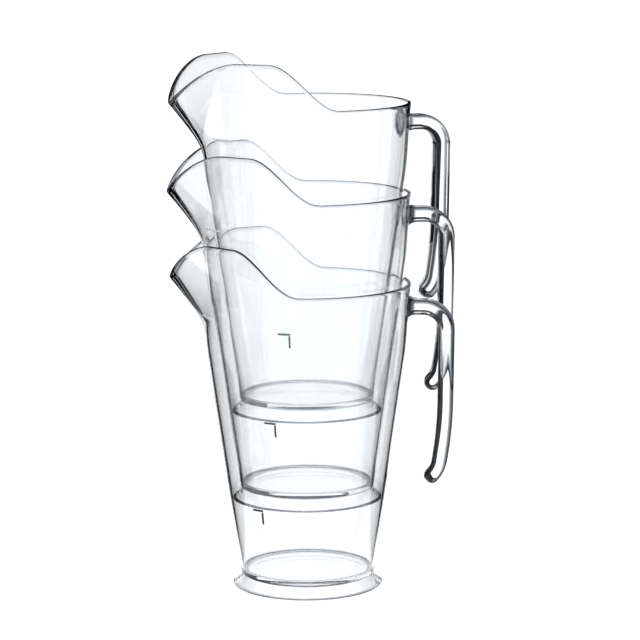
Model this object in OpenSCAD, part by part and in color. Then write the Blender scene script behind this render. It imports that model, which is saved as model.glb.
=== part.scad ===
// Stack of three clear plastic beer pitchers, nested one inside the other.
// Frame: origin at the centre of the bottom pitcher's foot, on the table, +Z up.
// The bottom pitcher pours towards -X and its handle points towards +X.
// Lengths are millimetres, angles are degrees. On a pitcher, an angle round the
// wall is counted from the spout, positive towards the side with the fill marks.

/* [Body] */
// Height of the level part of the rim above the table
rim_z = 225.8; // [205:0.2:250]
// Outer radius of the wall where it stands on the base
neck_r = 49.6; // [47:0.1:53]
// Outward lean of the wall, per unit of height
taper = 0.143; // [0.13:0.0005:0.16]
// Depth below the rim where the lean begins to ease
ease_from = 56.5; // [50:0.5:70]
// Depth below the rim where the wall is straight again
ease_to = 35.5; // [32:0.5:42]
// Outward lean of the wall at the rim, per unit of height
rim_lean = 0.057; // [0.03:0.001:0.07]
// Thickness of the wall
wall = 2.4; // [1.8:0.1:2.8]

/* [Pouring lip] */
// Outward slope of the keel under the tip of the lip
lip_slope = 0.775; // [0.6:0.005:0.95]
// Depth below the rim where the keel's slope would meet the wall
lip_drop = 29.7; // [26:0.1:32]
// Length over which the keel bends out of the wall
lip_blend = 10.5; // [6:0.1:14]
// Height of the tip above the level rim
tip_rise = 2; // [0:0.1:6]
// Height of the two shoulders above the level rim
shoulder_rise = 32.5; // [20:0.5:40]
// Angle from the tip to the top of a shoulder
lip_half = 39; // [32:0.5:44]
// Angle where the rim begins to fall from the shoulder
shoulder_end = 55.5; // [48:0.5:60]
// Angle where the rim becomes level
level_from = 94; // [84:0.5:110]
// Angle over which the keel is rounded
keel_soft = 1; // [0.5:0.1:3]

/* [Base] */
// Height of the seam between the wall and the base
seam_z = 9; // [7.5:0.1:11]
// Height of the floor above the seam
floor_rise = 3.2; // [2:0.1:4]
// Thickness of the floor
floor_t = 3.4; // [2.4:0.1:4.4]
// Radius of the foot at its widest
foot_r = 55.1; // [54:0.1:56]
// Height of the foot's widest line above the table
foot_edge = 1; // [0.6:0.1:1.6]
// Thickness of the flared skirt
skirt_t = 2.6; // [2:0.1:3.4]
// Inset of the groove under the seam
neck_groove = 1.8; // [0.6:0.1:2.2]

/* [Handle] */
// Depth of the middle of the handle's root below the rim
root_drop = 16.8; // [15:0.1:19]
// Height of the root where it is welded to the wall
root_h = 18; // [15:0.1:20]
// Width of the root where it is welded to the wall
root_w = 19; // [18:0.1:21]
// Length over which the root narrows to the grip
root_len = 6.5; // [4:0.1:8]
// Thickness of the grip, from the wall outwards
grip_d = 11.2; // [10:0.1:13]
// Width of the grip, round the wall
grip_w = 17; // [14:0.1:17.6]
// Clear space for fingers between the rim and the grip
finger_gap = 21; // [18:0.1:28]
// Bend radius of the grip's middle line at the top
bend_r = 16.7; // [13:0.1:18]
// Inward lean of the grip below the bend
grip_lean = 1; // [0:0.1:3]
// Length of the straight part of the grip
grip_len = 52.5; // [40:0.5:65]
// Radius of the long curve below the straight part
swan_r = 290; // [200:5:400]
// Inward lean at the end of the long curve
swan_lean = 10; // [7:0.5:14]
// Radius of the hook at the lower end
hook_r = 20; // [15:0.5:26]
// Inward lean at the end of the hook
hook_lean = 45; // [35:1:60]

/* [Fill marks] */
// Depth of the full line below the rim
full_drop = 22.5; // [18:0.1:27]
// Height of the lower line above the floor
first_line = 53; // [30:0.5:70]
// Height of each line
mark_h = 1.4; // [1:0.1:2]
// How far the marks stand out from the wall
mark_t = 0.6; // [0.4:0.1:1]
// Angle from the spout where the lower line starts
first_from = 54.5; // [50:0.5:70]
// Angle that the lower line covers
first_span = 9; // [6:0.5:12]
// Length of the tick that hangs under the lower line
tick_h = 9; // [5:0.5:14]

/* [Stack] */
// Turn of each pitcher against the one below it
turn_step = 11.3; // [11:0.1:16]
// Clearance round the foot inside the pitcher below
seat_gap = 0.3; // [0.2:0.05:0.6]
// Clearance between the floor's rim and the wall round it
fit_gap = 0.2; // [0.1:0.05:0.4]

/* [Hidden] */

// Colours
clear_wall = [0.86, 0.90, 0.95, 0.45];
clear_base = [0.80, 0.86, 0.93, 0.55];
clear_grip = [0.74, 0.82, 0.92, 0.65];
mark_grey = [0.45, 0.48, 0.52];

// Heights that follow from the rim
ease_z0 = rim_z - ease_from;
ease_z1 = rim_z - ease_to;
ease_rate = (taper - rim_lean) / (2 * (ease_from - ease_to));
lip_z = rim_z - lip_drop;
full_z = rim_z - full_drop;
floor_z = seam_z + floor_rise;

// Columns of the wall's facets: close together at the keel, then even, and then the
// flat land for the handle's root, opposite the spout
beak_cols = 10;
plain_cols = 22;
beak_span = 44;
keel_crowd = 1.5;
land_margin = 0.7;
root_z = rim_z - root_drop;
land_half = asin((root_w / 2 + land_margin) / plain_r(root_z - root_h / 2));
plain_step = (180 - land_half - beak_span) / plain_cols;
half_cols = concat(
    [for (i = [0:beak_cols]) beak_span * pow(i / beak_cols, keel_crowd)],
    [for (i = [1:plain_cols]) beak_span + i * plain_step],
    [180 - land_half / 2]
);
cols = concat([for (i = [len(half_cols) - 1:-1:1]) -half_cols[i]], half_cols, [180]);
n_cols = len(cols);
widest_step = max([for (i = [1:len(half_cols) - 1]) half_cols[i] - half_cols[i - 1]]);
facet_in = cos(widest_step / 2);

// Rows of the wall's facets: level up to the full line, then sharing what is left
// under the rim
taper_rows = 3;
ease_rows = 4;
lip_rows = 5;
level_rows = concat(
    [for (i = [0:taper_rows - 1]) seam_z + (ease_z0 - seam_z) * i / taper_rows],
    [for (i = [0:ease_rows - 1]) ease_z0 + (ease_z1 - ease_z0) * i / ease_rows],
    [ease_z1, (ease_z1 + full_z) / 2, full_z - mark_h / 2, full_z + mark_h / 2]
);
n_rows = len(level_rows) + lip_rows;

// The pitch of the stack: each pitcher sinks until its foot meets the wall below it, or
// until its own wall meets the wall below it where they are widest and steepest
seat_r = (foot_r + seat_gap) / facet_in + wall;
foot_pitch = seam_z + (seat_r - neck_r) / taper - foot_edge;
top_r = plain_r(rim_z + shoulder_rise);
wall_pitch = (top_r + seat_gap - (top_r - wall) * facet_in) / min(taper, rim_lean);
stack_pitch = max(foot_pitch, wall_pitch);

// Radius of the plain round wall outside, at height z
function plain_r(z) =
    let (
        low = min(z, ease_z0) - seam_z,
        mid = max(0, min(z, ease_z1) - ease_z0),
        top = max(0, z - ease_z1)
    )
    neck_r + taper * (low + mid) - ease_rate * mid * mid + rim_lean * top;

// How far the keel stands out from the plain wall: a slope that bends out of it
function keel(z) = lip_slope / 2 * (z - lip_z + sqrt(pow(z - lip_z, 2) + pow(lip_blend, 2)));
function lip_out(z) = max(0, keel(z) - keel(ease_z0));

// Angle at which the flat flanks of the lip touch the round wall
function beak(z) = acos(plain_r(z) / (plain_r(z) + lip_out(z)));

// Radius of the wall at angle a from the spout: round, with two flanks to the keel
function round_r(a, z) =
    plain_r(z) / cos(max(0, beak(z) + keel_soft - sqrt(a * a + keel_soft * keel_soft)));
function on_land(a, z) = abs(a) > 180 - land_half && z >= ease_z1;
function outer_r(a, z) =
    on_land(a, z) ? plain_r(z) * cos(land_half) / cos(180 - abs(a)) : round_r(a, z);
function inner_r(a, z) = round_r(a, z) * (plain_r(z) - wall) / plain_r(z);

// Height of the rim at angle a: tip, shoulder, fall and level part
function rim_top(a) =
    let (
        t = abs(a),
        up = tip_rise + (shoulder_rise - tip_rise) * sin(90 * min(1, t / lip_half)),
        fall = min(1, max(0, (t - shoulder_end) / (level_from - shoulder_end)))
    )
    rim_z + up * (1 + cos(180 * fall)) / 2;

function row_z(i, a) =
    i < len(level_rows)
        ? level_rows[i]
        : let (from = full_z + mark_h / 2, part = (i - len(level_rows) + 1) / lip_rows)
            from + (rim_top(a) - from) * part;

function at(a, r, z) = [-r * cos(a), -r * sin(a), z];

// Corners of one skin of the wall, row by row from the seam to the rim
function skin(outside) = [
    for (i = [0:n_rows - 1], a = cols)
        let (z = row_z(i, a)) at(a, outside ? outer_r(a, z) : inner_r(a, z), z)
];

// Two triangles of a quad
function quad(a, b, c, d) = [[a, b, c], [a, c, d]];

module pitcher_wall() {
    inside = n_rows * n_cols;
    last = (n_rows - 1) * n_cols;
    faces = [
        for (j = [0:n_cols - 1])
            let (k = (j + 1) % n_cols)
            each concat(
                [
                    for (i = [0:n_rows - 2])
                        let (lo = i * n_cols, hi = lo + n_cols)
                        each concat(
                            quad(lo + j, hi + j, hi + k, lo + k),
                            quad(
                                inside + lo + k, inside + hi + k,
                                inside + hi + j, inside + lo + j
                            )
                        )
                ],
                quad(last + j, inside + last + j, inside + last + k, last + k),
                quad(j, k, inside + k, inside + j)
            )
    ];
    color(clear_wall) polyhedron(points = concat(skin(true), skin(false)), faces = faces);
}

// Floor, seat for the wall and flared skirt, turned as one piece
module pitcher_base() {
    spigot_r = (neck_r - wall) * facet_in - fit_gap;
    seat_out = neck_r - neck_groove;
    under_z = floor_z - floor_t;
    skirt_in = seat_out - skirt_t;
    bevel = 0.8;
    flare_steps = 6;
    flare_power = 1.25;
    outside = [
        for (i = [0:flare_steps])
            let (t = i / flare_steps)
            [
                seat_out + (foot_r - seat_out) * pow(t, flare_power),
                seam_z - bevel - (seam_z - bevel - foot_edge) * t
            ]
    ];
    color(clear_base)
        rotate_extrude($fn = 96)
            polygon(concat(
                [[0, under_z], [0, floor_z], [spigot_r - bevel, floor_z]],
                [[spigot_r, floor_z - bevel], [spigot_r, seam_z], [seat_out, seam_z]],
                outside,
                [[foot_r - foot_edge, 0], [foot_r - foot_edge - skirt_t, 0]],
                [[skirt_in, under_z - bevel], [skirt_in - bevel, under_z]]
            ));
}

// Rounded box section of the grip: a point at angle u, for a given thickness and width
section_sides = 24;
section_power = 0.5;
function bulge(c) = sign(c) * pow(abs(c), section_power);

// Middle line of the handle as stations [x, z, direction, thickness, width]
grip_x = plain_r(rim_z) + finger_gap + grip_d / 2;
run_x = grip_x - bend_r;
land_x = plain_r(root_z) * cos(land_half);
root_steps = 5;
bend_steps = 9;
straight_steps = 3;
swan_steps = 5;
hook_steps = 6;
dome_steps = 4;
// The rounded end stops at this angle, in a small flat
dome_end = 66;

// A point that has turned clockwise from direction d0 to d1 round a radius r
function turned(p, r, d0, d1) = [
    p[0] + r * (sin(d0) - sin(d1)),
    p[1] + r * (cos(d1) - cos(d0))
];
// A point that has gone straight for a length l in direction d
function gone(p, l, d) = [p[0] + l * cos(d), p[1] + l * sin(d)];

bend_to = -90 - grip_lean;
swan_to = -90 - swan_lean;
hook_to = -90 - hook_lean;
bend_0 = [run_x, root_z];
bend_1 = turned(bend_0, bend_r, 0, bend_to);
swan_0 = gone(bend_1, grip_len, bend_to);
swan_1 = turned(swan_0, swan_r, bend_to, swan_to);
hook_1 = turned(swan_1, hook_r, swan_to, hook_to);

function station(p, d, size) = [p[0], p[1], d, size[0], size[1]];
grip_size = [grip_d, grip_w];
function arc_stations(p, r, d0, d1, steps) = [
    for (i = [1:steps])
        let (d = d0 + (d1 - d0) * i / steps) station(turned(p, r, d0, d), d, grip_size)
];
stations = concat(
    [
        for (i = [0:root_steps])
            let (t = 90 * i / root_steps)
            station(
                [land_x + root_len * (1 - cos(t)), root_z], 0,
                grip_size + ([root_h, root_w] - grip_size) * (1 - sin(t))
            )
    ],
    [station(bend_0, 0, grip_size)],
    arc_stations(bend_0, bend_r, 0, bend_to, bend_steps),
    [
        for (i = [1:straight_steps])
            station(gone(bend_1, grip_len * i / straight_steps, bend_to), bend_to, grip_size)
    ],
    arc_stations(swan_0, swan_r, bend_to, swan_to, swan_steps),
    arc_stations(swan_1, hook_r, swan_to, hook_to, hook_steps),
    [
        for (i = [1:dome_steps])
            let (t = dome_end * i / dome_steps)
            station(gone(hook_1, grip_d / 2 * sin(t), hook_to), hook_to, grip_size * cos(t))
    ]
);

// The first ring lies in the plane of the flat land, the others square to the middle line
function ring(k) = [
    for (j = [0:section_sides - 1])
        let (
            s = stations[k],
            u = 360 * (j + 0.5) / section_sides,
            p = s[3] / 2 * bulge(cos(u)),
            y = s[4] / 2 * bulge(sin(u)),
            z = s[1] + p * cos(s[2]),
            x = k == 0 ? plain_r(z) * cos(land_half) : s[0] - p * sin(s[2])
        )
        [x, y, z]
];

module pitcher_handle() {
    n = section_sides;
    last = len(stations) - 1;
    points = [for (k = [0:last]) each ring(k)];
    sides = [
        for (k = [last - 1:-1:0], j = [n - 1:-1:0])
            let (i = (j + 1) % n)
            each quad((k + 1) * n + i, (k + 1) * n + j, k * n + j, k * n + i)
    ];
    caps = [
        [for (j = [0:n - 1]) last * n + j],
        [for (j = [n - 1:-1:0]) j]
    ];
    color(clear_grip) polyhedron(points = points, faces = concat(sides, caps));
}

// Radius of the facet that holds angle a, outside the lip, on the straight taper
function facet_r(a, z) =
    let (
        cell = floor((a - beak_span) / plain_step),
        mid = beak_span + (cell + 0.5) * plain_step
    )
    plain_r(z) * cos(plain_step / 2) / cos(a - mid);
function on_wall_r(a, z) = a < beak_span ? outer_r(a, z) : facet_r(a, z);

// Angles of a bar from a0 to a1, with the facets' edges between them
function bar_angles(a0, a1) = concat([a0], [for (a = half_cols) if (a > a0 && a < a1) a], [a1]);

// A raised bar on the wall through the given angles, between two heights
module wall_bar(angles, z0, z1) {
    n = len(angles);
    points = [
        for (out = [0, mark_t], z = [z0, z1], a = angles) at(a, on_wall_r(a, z) + out, z)
    ];
    long_faces = [
        for (j = [0:n - 2])
            each concat(
                quad(2 * n + j, 3 * n + j, 3 * n + j + 1, 2 * n + j + 1),
                quad(j, j + 1, n + j + 1, n + j),
                quad(n + j, n + j + 1, 3 * n + j + 1, 3 * n + j),
                quad(j, 2 * n + j, 2 * n + j + 1, j + 1)
            )
    ];
    ends = concat(
        quad(0, n, 3 * n, 2 * n),
        quad(n - 1, 3 * n - 1, 4 * n - 1, 2 * n - 1)
    );
    polyhedron(points = points, faces = concat(long_faces, ends));
}

// Full line beside the spout, and the lower line with its tick
module pitcher_marks() {
    full_cols = [5, 8];
    tick_span = 1.3;
    tick_space = 0.4;
    line_z = floor_z + first_line;
    line_to = first_from + first_span;
    tick_top = line_z - mark_h / 2 - tick_space;
    color(mark_grey) {
        wall_bar(
            [for (i = [full_cols[0]:full_cols[1]]) half_cols[i]],
            full_z - mark_h / 2, full_z + mark_h / 2
        );
        wall_bar(bar_angles(first_from, line_to), line_z - mark_h / 2, line_z + mark_h / 2);
        wall_bar(bar_angles(line_to - tick_span, line_to), tick_top - tick_h, tick_top);
    }
}

// Place of a pitcher in the stack, counted from the bottom
module stacked(level) {
    translate([0, 0, level * stack_pitch]) rotate([0, 0, level * turn_step]) children();
}

stacked(0) pitcher_wall();  // bottom_wall
stacked(0) pitcher_base();  // bottom_base
stacked(0) pitcher_handle();  // bottom_handle
stacked(0) pitcher_marks();  // bottom_marks
stacked(1) pitcher_wall();  // middle_wall
stacked(1) pitcher_base();  // middle_base
stacked(1) pitcher_handle();  // middle_handle
stacked(1) pitcher_marks();  // middle_marks
stacked(2) pitcher_wall();  // top_wall
stacked(2) pitcher_base();  // top_base
stacked(2) pitcher_handle();  // top_handle
stacked(2) pitcher_marks();  // top_marks
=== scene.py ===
import math

import bpy
import numpy as np
from mathutils import Matrix, Vector


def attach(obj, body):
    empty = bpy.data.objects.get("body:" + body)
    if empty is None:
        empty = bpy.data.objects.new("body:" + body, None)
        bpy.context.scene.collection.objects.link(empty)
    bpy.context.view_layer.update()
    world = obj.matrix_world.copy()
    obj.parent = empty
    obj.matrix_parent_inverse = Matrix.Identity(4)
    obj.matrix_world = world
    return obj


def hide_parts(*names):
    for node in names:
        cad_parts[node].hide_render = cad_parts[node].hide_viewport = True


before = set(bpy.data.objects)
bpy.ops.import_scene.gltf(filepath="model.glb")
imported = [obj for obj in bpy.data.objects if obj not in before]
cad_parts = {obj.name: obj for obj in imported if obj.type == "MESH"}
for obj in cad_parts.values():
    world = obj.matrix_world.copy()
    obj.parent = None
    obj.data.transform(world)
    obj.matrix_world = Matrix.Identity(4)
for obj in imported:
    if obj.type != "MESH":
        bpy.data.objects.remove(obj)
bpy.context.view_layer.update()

# A pitcher in its own frame, in millimetres and degrees: z up from the table, the spout
# towards -X and the handle towards +X. Angles round the wall are counted from the spout.
MM = 0.001
LEVELS = ("bottom", "middle", "top")
STACK_PITCH, TURN_STEP = 65.95, 11.3

RIM_Z, NECK_R, WALL = 225.8, 49.6, 2.4
TAPER, RIM_LEAN, EASE_FROM, EASE_TO = 0.143, 0.057, 56.5, 35.5
LIP_SLOPE, LIP_DROP, LIP_BLEND, KEEL_SOFT, KEEL_FILL = 0.775, 29.7, 10.5, 1.0, 3.0
TIP_RISE, SHOULDER_RISE, LIP_HALF, SHOULDER_END, LEVEL_FROM = 2.0, 32.5, 39.0, 55.5, 94.0
SEAM_Z, FLOOR_RISE, FLOOR_T, FOOT_R, FOOT_EDGE = 9.0, 3.2, 3.4, 55.1, 1.0
SKIRT_T, NECK_GROOVE, BEVEL, FLARE_POWER = 2.6, 1.8, 0.8, 1.25
ROOT_DROP, ROOT_H, ROOT_W, ROOT_LEN, LAND_MARGIN = 16.8, 18.0, 19.0, 6.5, 0.7
GRIP_D, GRIP_W, FINGER_GAP, BEND_R, GRIP_LEAN = 11.2, 17.0, 21.0, 16.7, 1.0
GRIP_LEN, SWAN_R, SWAN_LEAN, HOOK_R, HOOK_LEAN = 52.5, 290.0, 10.0, 20.0, 45.0
FULL_DROP, FIRST_LINE, MARK_H, MARK_T = 22.5, 53.0, 1.4, 0.6
FULL_FROM, FULL_TO = 15.6, 31.5
FIRST_FROM, FIRST_SPAN, TICK_H, TICK_SPAN, TICK_SPACE = 54.5, 9.0, 9.0, 1.3, 0.4

EASE_Z0, EASE_Z1 = RIM_Z - EASE_FROM, RIM_Z - EASE_TO
EASE_RATE = (TAPER - RIM_LEAN) / (2 * (EASE_FROM - EASE_TO))
LIP_Z, ROOT_Z = RIM_Z - LIP_DROP, RIM_Z - ROOT_DROP
FLOOR_Z = SEAM_Z + FLOOR_RISE

# How far the painted edge shade reaches: from the rim, from the keel in degrees, from the foot's edges,
# from the floor's corner, and from the outline of the handle's root as a share of its size
SHADE_RIM, SHADE_KEEL, SHADE_FOOT, SHADE_FLOOR, SHADE_ROOT = 1.1, 2.2, 1.0, 2.2, 0.3
FLOOR_CORNER_R = 46

# Clear pieces: material name, tint, tint of the edges darkened by painted shade, roughness and waviness
CLEAR = {
    "wall": ("clear_wall", (0.99, 0.994, 0.997), (0.15, 0.17, 0.19), 0.010, 0.10),
    "base": ("clear_base", (0.985, 0.991, 0.996), (0.15, 0.17, 0.19), 0.014, 0.10),
    "handle": ("clear_grip", (0.985, 0.991, 0.996), (0.09, 0.10, 0.11), 0.010, 0.06),
}


# ---- Shape of the wall ----

def plain_r(z):
    """Outer radius of the round wall at height z."""
    low = np.minimum(z, EASE_Z0) - SEAM_Z
    mid = np.clip(z, EASE_Z0, EASE_Z1) - EASE_Z0
    top = np.maximum(0.0, z - EASE_Z1)
    return NECK_R + TAPER * (low + mid) - EASE_RATE * mid**2 + RIM_LEAN * top


def keel(z):
    """How far the spout's keel stands out at height z, eased in at its lower end."""
    return LIP_SLOPE / 2 * (z - LIP_Z + np.sqrt((z - LIP_Z) ** 2 + LIP_BLEND**2))


def wall_r(a, z, soft=KEEL_SOFT):
    """Outer radius at angle a: round, with two flat flanks that meet in the spout's keel."""
    r = plain_r(z)
    out = np.maximum(0.0, keel(z) - keel(EASE_Z0))
    beak = np.degrees(np.arccos(r / (r + out)))
    turn = np.maximum(0.0, beak + KEEL_SOFT - np.sqrt(a**2 + soft**2))
    return r / np.cos(np.radians(turn))


def inner_r(a, z):
    """Inner radius at angle a. The corner behind the keel is filled in and rounded."""
    return wall_r(a, z, KEEL_FILL) * (plain_r(z) - WALL) / plain_r(z)


def rim_top(a):
    """Height of the rim at angle a: tip, shoulder, fall and level part."""
    t = np.abs(a)
    rise = np.sin(np.radians(90 * np.minimum(1, t / LIP_HALF)))
    up = TIP_RISE + (SHOULDER_RISE - TIP_RISE) * rise
    fall = np.clip((t - SHOULDER_END) / (LEVEL_FROM - SHOULDER_END), 0, 1)
    return RIM_Z + up * (1 + np.cos(np.pi * fall)) / 2


def on_wall(a, r, z):
    """Points at angles a, radii r and heights z."""
    t = np.radians(a)
    return np.stack([-r * np.cos(t), -r * np.sin(t), z + 0 * t], axis=-1)


# ---- Meshes as (points in millimetres, faces) ----

def loft(rings, closed=True):
    """Quads between rings of equal length, facing out where the rings run down an outside."""
    n = len(rings[0])
    faces = []
    for i in range(len(rings) - 1):
        for j in range(n if closed else n - 1):
            k = (j + 1) % n
            faces.append((i * n + j, (i + 1) * n + j, (i + 1) * n + k, i * n + k))
    return np.concatenate(rings), faces


def body_mesh():
    """Wall and base as one closed skin, from the floor up the inside, over the rim, down the
    outside and under the foot. The third value tells the wall's faces from the base's."""
    half = np.concatenate([
        np.arange(0, 3, 0.25), np.arange(3, 6, 0.5), np.arange(6, 50, 1.25), np.arange(50, 180, 2.5)
    ])
    a = np.concatenate([-half[:0:-1], half, [180.0]])
    rim_h, fillet, edge = 0.9, 2.2, 0.5
    floor_rings, under_rings = (12, 24, 34, 40, 43.5), (40, 30, 20, 10)
    ones = np.ones_like(a)

    low = np.concatenate([
        np.linspace(SEAM_Z + 1.2, EASE_Z0, 12)[:-1], np.linspace(EASE_Z0, EASE_Z1, 10)
    ])
    high = EASE_Z1 + (rim_top(a) - rim_h - EASE_Z1) * np.linspace(0, 1, 22)[1:, None]
    heights = [z * ones for z in low] + list(high)
    inside = [z for z in heights if z[0] > FLOOR_Z + fillet + 2]

    # Floor of the inside, with a rounded corner
    corner = inner_r(a, (FLOOR_Z + fillet) * ones)
    rows = [(r * ones, FLOOR_Z * ones) for r in floor_rings]
    for t in np.radians(np.linspace(0, 90, 6)):
        rows.append((corner - fillet * (1 - np.sin(t)), (FLOOR_Z + fillet * (1 - np.cos(t))) * ones))
    wall_from = len(rows) - 1
    rows += [(inner_r(a, z), z) for z in inside]

    # Rounded rim
    top = heights[-1]
    r_in, r_out = inner_r(a, top), wall_r(a, top)
    for t in np.radians(np.linspace(0, 180, 9)[1:-1]):
        rows.append(((r_in + r_out) / 2 - (r_out - r_in) / 2 * np.cos(t), top + rim_h * np.sin(t)))
    rows += [(wall_r(a, z), z) for z in heights[::-1]]

    # Lower edge of the wall, over the groove
    for t in np.radians(np.linspace(0, 90, 4)):
        rows.append(((NECK_R - edge * (1 - np.cos(t))) * ones, (SEAM_Z + edge * (1 - np.sin(t))) * ones))
    wall_to = len(rows) - 1

    # Groove, flared skirt, foot and hollow underside
    seat, under = NECK_R - NECK_GROOVE, FLOOR_Z - FLOOR_T
    profile = [(seat + 0.5, SEAM_Z), (seat + 0.1, SEAM_Z - 0.3)]
    top_z = SEAM_Z - BEVEL
    for t in np.linspace(0, 1, 10):
        profile.append((seat + (FOOT_R - seat) * t**FLARE_POWER, top_z - (top_z - FOOT_EDGE) * t))
    for t in np.radians(np.linspace(20, 90, 4)):
        profile.append((FOOT_R - FOOT_EDGE * (1 - np.cos(t)), FOOT_EDGE * (1 - np.sin(t))))
    rim_in, skirt_in = FOOT_R - FOOT_EDGE - SKIRT_T, seat - SKIRT_T
    profile += [(rim_in + 0.5, 0), (rim_in + 0.1, 0.2), (rim_in - 0.4, 0.7)]
    profile += [(rim_in + (skirt_in - rim_in) * t, (under - BEVEL) * t) for t in (0.35, 0.65, 0.93)]
    profile += [(skirt_in - 0.1, under - 0.45), (skirt_in - 0.45, under - 0.1), (skirt_in - 1.0, under)]
    profile += [(r, under) for r in under_rings]
    rows += [(r * ones, z * ones) for r, z in profile]

    points, faces = loft([on_wall(a, r, z) for r, z in rows])
    n = len(a)
    is_wall = [wall_from <= f[0] // n < wall_to for f in faces]

    # Close the floor and the underside at the axis
    points = np.concatenate([points, [[0, 0, FLOOR_Z], [0, 0, under]]])
    floor_pole, under_pole = len(points) - 2, len(points) - 1
    last = (len(rows) - 1) * n
    for j in range(n):
        k = (j + 1) % n
        faces += [(floor_pole, j, k), (last + j, under_pole, last + k)]
        is_wall += [False, False]
    return points, faces, is_wall


def turned(p, r, d0, d1):
    """Point p after a clockwise turn of radius r from direction d0 to d1."""
    d0, d1 = math.radians(d0), math.radians(d1)
    return p[0] + r * (math.sin(d0) - math.sin(d1)), p[1] + r * (math.cos(d1) - math.cos(d0))


def gone(p, length, d):
    """Point p after a straight run in direction d."""
    return p[0] + length * math.cos(math.radians(d)), p[1] + length * math.sin(math.radians(d))


def bulge(c):
    """Turns a cosine or sine into a side of a rounded box."""
    return np.sign(c) * np.sqrt(np.abs(c))


def handle_mesh():
    """The grip, from inside the wall at its root to the rounded hook."""
    sides = 56
    land_half = math.asin((ROOT_W / 2 + LAND_MARGIN) / plain_r(ROOT_Z - ROOT_H / 2))
    land_x = float(plain_r(ROOT_Z) * math.cos(land_half))
    run_x = float(plain_r(RIM_Z)) + FINGER_GAP + GRIP_D / 2 - BEND_R
    grip, root = np.array([GRIP_D, GRIP_W]), np.array([ROOT_H, ROOT_W])
    bend_to, swan_to, hook_to = -90 - GRIP_LEAN, -90 - SWAN_LEAN, -90 - HOOK_LEAN

    stations = [((land_x - 0.9, ROOT_Z), 0, root)]
    for t in np.radians(np.linspace(0, 90, 13)):
        stations.append((
            (land_x + ROOT_LEN * (1 - math.cos(t)), ROOT_Z), 0, grip + (root - grip) * (1 - math.sin(t))
        ))
    p = (run_x, ROOT_Z)
    stations.append((p, 0, grip))
    for radius, d0, d1, steps in (
        (BEND_R, 0, bend_to, 26), (None, bend_to, bend_to, 8), (SWAN_R, bend_to, swan_to, 12),
        (HOOK_R, swan_to, hook_to, 14)
    ):
        for i in range(1, steps + 1):
            d = d0 + (d1 - d0) * i / steps
            at = gone(p, GRIP_LEN * i / steps, d0) if radius is None else turned(p, radius, d0, d)
            stations.append((at, d, grip))
        p = at
    for t in np.radians(np.linspace(0, 86, 13)[1:]):
        stations.append((gone(p, GRIP_D / 2 * math.sin(t), hook_to), hook_to, grip * math.cos(t)))

    u = np.linspace(0, 2 * np.pi, sides, endpoint=False)
    rings = []
    for (x, z), d, (depth, width) in stations:
        d = math.radians(d)
        off = depth / 2 * bulge(np.cos(u))
        across = width / 2 * bulge(np.sin(u))
        rings.append(np.stack([x - off * math.sin(d), across, z + off * math.cos(d)], 1))
    points, faces = loft(rings)
    last = (len(rings) - 1) * sides
    faces += [tuple(range(sides)), tuple(last + j for j in reversed(range(sides)))]
    return points, faces


def raised_patch(a0, a1, z0, z1):
    """A low rounded bar on the wall between two angles and two heights, sunk a little into it."""
    sink, round_r, mean_r, end_span, per_degree = 0.25, 0.45, 65, 1.4, 1.5
    steps = np.array([0, 0.08, 0.25, 0.5, 0.75, 0.92, 1.0])
    n_a = max(7, int((a1 - a0) * per_degree))
    ends = steps[:3] * end_span / (a1 - a0)
    s_a = np.unique(np.concatenate([ends, np.linspace(0, 1, n_a), 1 - ends]))
    s_a = s_a[(s_a >= 0) & (s_a <= 1)]
    width_a, width_z = math.radians(a1 - a0) * mean_r, z1 - z0

    def lift(s, width):
        """Share of the full height at the share s of a width: 1 inside, rounded at both ends."""
        e = np.clip(np.minimum(s, 1 - s) * width / round_r, 0, 1)
        return np.sqrt(1 - (1 - e) ** 2)

    a = a0 + (a1 - a0) * s_a
    rings = []
    for s in steps[::-1]:
        z = (z0 + (z1 - z0) * s) * np.ones_like(a)
        height = np.minimum(lift(s_a, width_a), lift(s, width_z))
        rings.append(on_wall(a, wall_r(a, z) - sink + (MARK_T + sink) * height, z))
    points, faces = loft(rings, closed=False)
    n, m = len(a), len(rings)
    border = list(range(n)) + [i * n + n - 1 for i in range(1, m)]
    border += [(m - 1) * n + j for j in range(n - 2, -1, -1)] + [i * n for i in range(m - 2, 0, -1)]
    return points, faces + [tuple(border)]


def joined(*meshes):
    """Several meshes as one."""
    points, faces, count = [], [], 0
    for p, f in meshes:
        points.append(p)
        faces += [tuple(count + i for i in face) for face in f]
        count += len(p)
    return np.concatenate(points), faces


def marks_mesh():
    """The full line beside the spout, and the lower line with its tick."""
    full_z, line_z = RIM_Z - FULL_DROP, FLOOR_Z + FIRST_LINE
    line_to, tick_top = FIRST_FROM + FIRST_SPAN, line_z - MARK_H / 2 - TICK_SPACE
    return joined(
        raised_patch(FULL_FROM, FULL_TO, full_z - MARK_H / 2, full_z + MARK_H / 2),
        raised_patch(FIRST_FROM, line_to, line_z - MARK_H / 2, line_z + MARK_H / 2),
        raised_patch(line_to - TICK_SPAN, line_to, tick_top - TICK_H, tick_top),
    )


def near(distance, reach):
    """1 close by, falling to 0 at the reach."""
    return np.clip(1.5 * (1 - np.abs(distance) / reach), 0, 1)


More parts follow.
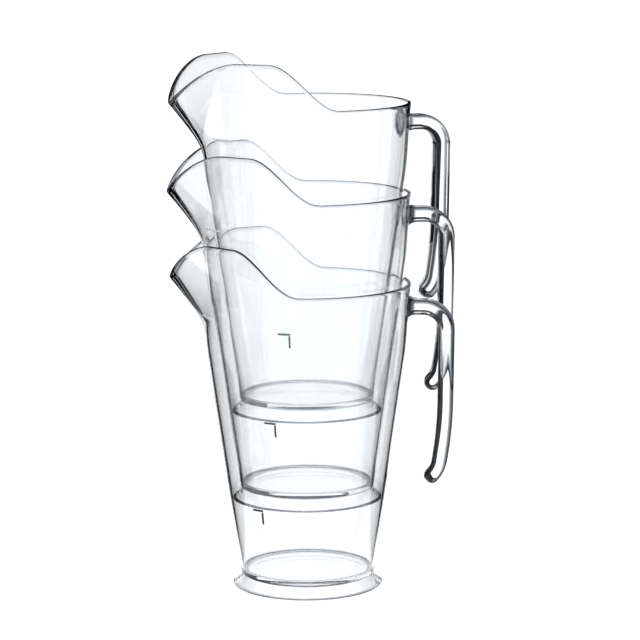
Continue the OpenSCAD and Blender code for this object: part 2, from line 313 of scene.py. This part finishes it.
def painted_shade_and_dark_line(points):
    """How much painted shade darkens the clear plastic, from 0 to 1: on the rim, keel and foot, the
    grip's corners and root.
    """
    x, y, z = points.T
    a, r, wall = np.degrees(np.arctan2(-y, -x)), np.hypot(x, y), plain_r(z)
    # Painted shade in a strip along both sides of the grip, from 0.2 to 4 mm in
    from_side = GRIP_W / 2 - np.abs(y)
    corner = np.clip((from_side - 0.2) / 0.3, 0, 1) * np.clip((4.0 - from_side) / 1.5, 0, 1)
    lip = np.clip((wall_r(0 * a, z) - wall) / 4, 0, 1) * (r > wall - 0.5 * WALL)
    # Painted shade on the outline of the handle's root on the wall, and on its flare up to 5 mm out
    from_root = np.hypot(2 * y / ROOT_W, 2 * (z - ROOT_Z) / ROOT_H)
    root = near(from_root - 1, SHADE_ROOT) * (r < wall + 2)
    flare = np.clip((wall + 5 - r) / 2, 0, 1) * (r > wall - 0.5) * (from_root < 1.2)
    return np.maximum.reduce([
        near(z - rim_top(a), SHADE_RIM),
        near(a, SHADE_KEEL) * lip,
        corner * (x > wall + 1),
        np.maximum(root, flare) * (x > 0),
        near(np.hypot(r - FOOT_R, z - FOOT_EDGE), SHADE_FOOT),
        near(np.hypot(r - NECK_R, z - SEAM_Z), SHADE_FOOT),
        near(np.hypot(r - FLOOR_CORNER_R, z - FLOOR_Z), SHADE_FLOOR),
    ])


def new_mesh(name, points, faces):
    """A mesh from points in millimetres."""
    mesh = bpy.data.meshes.new(name)
    mesh.from_pydata((np.asarray(points) * MM).tolist(), [], faces)
    return mesh


def welded_parts():
    """Wall, base and handle of one pitcher: one moulded skin, cut into three pieces where they meet."""
    points, faces, is_wall = body_mesh()
    tags = [bpy.data.materials.new(f"tag_{k}") for k in range(3)]
    body = bpy.data.objects.new("body", new_mesh("body", points, faces))
    rod = bpy.data.objects.new("rod", new_mesh("rod", *handle_mesh()))
    for tag in tags:
        body.data.materials.append(tag)
        rod.data.materials.append(tag)
    body.data.polygons.foreach_set("material_index", [0 if w else 1 for w in is_wall])
    rod.data.polygons.foreach_set("material_index", [2] * len(rod.data.polygons))
    for ob in (body, rod):
        bpy.context.scene.collection.objects.link(ob)
    weld = body.modifiers.new("weld", "BOOLEAN")
    weld.operation, weld.solver, weld.object = "UNION", "EXACT", rod
    whole = bpy.data.meshes.new_from_object(body.evaluated_get(bpy.context.evaluated_depsgraph_get()))

    coords = np.empty(len(whole.vertices) * 3)
    whole.vertices.foreach_get("co", coords)
    coords = coords.reshape(-1, 3) / MM
    meshes = []
    for k, name in enumerate(("wall", "base", "handle")):
        chosen = [tuple(p.vertices) for p in whole.polygons if p.material_index == k]
        used = sorted({i for face in chosen for i in face})
        place = {i: n for n, i in enumerate(used)}
        meshes.append(new_mesh(name, coords[used], [tuple(place[i] for i in face) for face in chosen]))
    for ob in (body, rod):
        mesh = ob.data
        bpy.data.objects.remove(ob)
        bpy.data.meshes.remove(mesh)
    bpy.data.meshes.remove(whole)
    for tag in tags:
        bpy.data.materials.remove(tag)
    return meshes


# ---- Materials ----

def node(tree, kind, **values):
    """A new shader node with its inputs set by name."""
    made = tree.nodes.new("ShaderNode" + kind)
    for name, value in values.items():
        made.inputs[name.replace("_", " ")].default_value = value
    return made


def new_material(name):
    """A material with its node tree and its shader."""
    mat = bpy.data.materials.new(name)
    mat.use_nodes = True
    return mat, mat.node_tree, mat.node_tree.nodes["Principled BSDF"]


def darkened_colour(tree, skin, plain, dark_colour):
    """Colour from plain to dark, by the value stored on the mesh: painted edge shade on the clear
    pieces, and the darker lower line on the marks.
    """
    darkening = node(tree, "Attribute")
    darkening.attribute_name = "painted_shade_and_dark_line"
    shade = node(tree, "ValToRGB")
    shade.color_ramp.elements[0].color = (*plain, 1)
    shade.color_ramp.elements[1].color = (*dark_colour, 1)
    tree.links.new(darkening.outputs["Fac"], shade.inputs["Fac"])
    tree.links.new(shade.outputs["Color"], skin.inputs["Base Color"])


def clear_plastic(name, tint, dark_colour, rough, wave):
    """Polished clear plastic: faint washing haze, fine scuffs and slightly wavy moulded faces."""
    mat, tree, skin = new_material(name)
    link = tree.links.new
    skin.inputs["IOR"].default_value = 1.54
    skin.inputs["Transmission Weight"].default_value = 1.0
    spot = node(tree, "TexCoord").outputs["Object"]
    # Painted shade: the edges of the clear plastic darken towards the dark tint
    darkened_colour(tree, skin, tint, dark_colour)

    haze = node(tree, "TexNoise", Scale=38.0, Detail=6.0, Roughness=0.62)
    link(spot, haze.inputs["Vector"])
    gloss = node(tree, "MapRange", From_Min=0.35, From_Max=0.8, To_Min=rough, To_Max=rough * 3.5)
    link(haze.outputs["Fac"], gloss.inputs["Value"])
    link(gloss.outputs["Result"], skin.inputs["Roughness"])

    waves = node(tree, "TexNoise", Scale=24.0, Detail=2.0, Roughness=0.4)
    link(spot, waves.inputs["Vector"])
    bump = node(tree, "Bump", Strength=wave, Distance=0.0006)
    link(waves.outputs["Fac"], bump.inputs["Height"])
    link(bump.outputs["Normal"], skin.inputs["Normal"])
    return mat


def mark_plastic():
    """The raised lines: faint beside the spout, dark on the lower line, with an uneven matt face."""
    mat, tree, skin = new_material("moulded_mark")
    link = tree.links.new
    spot = node(tree, "TexCoord").outputs["Object"]
    darkened_colour(tree, skin, (0.60, 0.62, 0.64), (0.02, 0.023, 0.026))

    grain = node(tree, "TexNoise", Scale=420.0, Detail=4.0)
    link(spot, grain.inputs["Vector"])
    gloss = node(tree, "MapRange", From_Min=0.3, From_Max=0.7, To_Min=0.28, To_Max=0.5)
    link(grain.outputs["Fac"], gloss.inputs["Value"])
    link(gloss.outputs["Result"], skin.inputs["Roughness"])
    return mat


# ---- The three pitchers ----

def build_pitchers():
    """One pitcher's pieces, set three times: each level higher and turned a little further."""
    parts = dict(zip(("wall", "base", "handle"), welded_parts()))
    parts["marks"] = new_mesh("marks", *marks_mesh())
    looks = {kind: (look[0], clear_plastic(*look)) for kind, look in CLEAR.items()}
    looks["marks"] = ("mark", mark_plastic())
    lower_line = FLOOR_Z + FIRST_LINE + MARK_H
    for kind, mesh in parts.items():
        points = np.array([v.co for v in mesh.vertices]) / MM
        # Darkening from 0 to 1: painted edge shade on the clear pieces, and the lower line with its tick
        # on the marks
        darkening = points[:, 2] < lower_line if kind == "marks" else painted_shade_and_dark_line(points)
        stored = mesh.attributes.new("painted_shade_and_dark_line", "FLOAT", "POINT")
        stored.data.foreach_set("value", darkening.astype(np.float32))
        mesh.materials.append(looks[kind][1])
        mesh.polygons.foreach_set("use_smooth", [True] * len(mesh.polygons))
        mesh.set_sharp_from_angle(angle=math.radians(38))
        mesh.update()
    for level, body in enumerate(LEVELS):
        place = Matrix.Translation((0, 0, level * STACK_PITCH * MM))
        place = place @ Matrix.Rotation(math.radians(level * TURN_STEP), 4, "Z")
        for kind, mesh in parts.items():
            placed = mesh.copy()
            placed.transform(place)
            piece = bpy.data.objects.new(f"{body}_{kind}_clear", placed)
            bpy.context.scene.collection.objects.link(piece)
            piece.visible_shadow = False
            piece.visible_diffuse = False
            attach(piece, body)
            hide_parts(f"{body}_{kind}")


# ---- Studio ----

def matt_material(name, grey):
    """A matt grey for the stage."""
    mat, _, skin = new_material(name)
    skin.inputs["Base Color"].default_value = (grey, grey, grey, 1)
    skin.inputs["Roughness"].default_value = 1.0
    skin.inputs["Specular IOR Level"].default_value = 0.0
    return mat


def card(name, corners, mat):
    """A flat stage panel through its corners."""
    mesh = bpy.data.meshes.new(name)
    mesh.from_pydata(corners, [], [tuple(range(len(corners)))])
    mesh.materials.append(mat)
    panel = bpy.data.objects.new(name, mesh)
    bpy.context.scene.collection.objects.link(panel)
    return panel


def build_studio():
    """A pale floor under soft light from above and from all round."""
    side = 30
    corners = [(-side, -side, 0), (side, -side, 0), (side, side, 0), (-side, side, 0)]
    card("floor", corners, matt_material("pale_floor", 0.92))
    sun = bpy.data.lights.new("overhead", "SUN")
    sun.energy = 0.75
    sun.angle = math.radians(60)
    lamp = bpy.data.objects.new("overhead", sun)
    bpy.context.scene.collection.objects.link(lamp)
    lamp.rotation_euler = (math.radians(12), math.radians(-10), 0)

    world = bpy.data.worlds.new("studio")
    bpy.context.scene.world = world
    world.use_nodes = True
    glow = world.node_tree.nodes["Background"]
    glow.inputs["Color"].default_value = (0.97, 0.985, 1, 1)
    glow.inputs["Strength"].default_value = 0.9


def build_flags():
    """Black flags beside and behind the object, which give clear plastic its dark edges. They
    stand on a carrier that faces the camera, as round a turntable: x right, y away, z up."""
    carrier = bpy.data.objects.new("flag_carrier", None)
    bpy.context.scene.collection.objects.link(carrier)
    facing = carrier.constraints.new("LOCKED_TRACK")
    facing.target = bpy.context.scene.camera
    facing.track_axis, facing.lock_axis = "TRACK_NEGATIVE_Y", "LOCK_Z"
    black = matt_material("flag_black", 0.004)
    behind, outer, low, high = 0.10, 0.45, 0.050, 0.95
    foot_y, foot_lean = 0.02, 1.6
    left = [
        (-0.097, low), (-0.119, 0.180), (-0.138, 0.208), (-0.138, high), (-outer, high), (-outer, low)
    ]
    right = [
        (0.085, low), (0.102, 0.052), (0.110, 0.075), (0.113, 0.150), (0.111, 0.250), (0.104, 0.325),
        (0.094, 0.345), (0.080, 0.365), (0.080, high), (outer, high), (outer, low)
    ]
    foot = [(0.074, 0.002), (0.079, 0.010), (0.095, low), (outer, low), (outer, 0.002)]
    shapes = {
        "flag_left": [(x, behind, z) for x, z in left],
        "flag_right": [(x, behind, z) for x, z in right],
        "flag_low_left": [(-x, foot_y + foot_lean * z, z) for x, z in foot],
        "flag_low_right": [(x, foot_y + foot_lean * z, z) for x, z in foot],
        "flag_floor": [(-4, 1.2, 0.003), (-0.75, 1.2, 0.003), (-0.75, 2.4, 0.003), (-4, 2.4, 0.003)],
        "flag_back": [(-7, 14, 0.02), (9, 14, 0.02), (9, 14, 1.95), (-7, 14, 1.95)],
        "flag_high": [(-7, 14, 5.6), (7, 14, 5.6), (7, 14, 11.5), (-7, 14, 11.5)],
        "flag_far_right": [(6.5, 14, 0.02), (15, 7, 0.02), (15, 7, 5.4), (6.5, 14, 5.4)],
        "flag_side": [(15, 7, 0.02), (15, -5, 0.02), (15, -5, 5.4), (15, 7, 5.4)],
    }
    for name, corners in shapes.items():
        flag = card(name, corners, black)
        flag.parent = carrier
        flag.visible_camera = False
        flag.visible_shadow = False
        flag.visible_diffuse = False


def build_camera():
    """A long lens that looks slightly down on the stack."""
    data = bpy.data.cameras.new("camera")
    camera = bpy.data.objects.new("camera", data)
    bpy.context.scene.collection.objects.link(camera)
    data.sensor_width = 36.0
    data.lens = 153.17
    data.clip_end = 200
    half_pixel = 0.5 / 640
    data.shift_x, data.shift_y = -half_pixel, half_pixel
    place = Matrix.Translation((0.25695, -1.9512, 0.5391))
    look = Vector((-0.12348, 0.97746, -0.17124)).to_track_quat("-Z", "Y").to_matrix().to_4x4()
    roll = Matrix.Rotation(-0.0048, 4, "Z")
    camera.matrix_world = place @ look @ roll
    bpy.context.scene.camera = camera


def set_render():
    """Strong contrast, and enough bounces for light through all the walls."""
    scene = bpy.context.scene
    scene.view_settings.view_transform = "Standard"
    scene.view_settings.exposure = 0.1
    scene.view_settings.gamma = 0.75
    scene.cycles.max_bounces = 40
    scene.cycles.transmission_bounces = 40
    scene.cycles.glossy_bounces = 16
    scene.cycles.diffuse_bounces = 2


build_pitchers()
build_camera()
build_studio()
build_flags()
set_render()
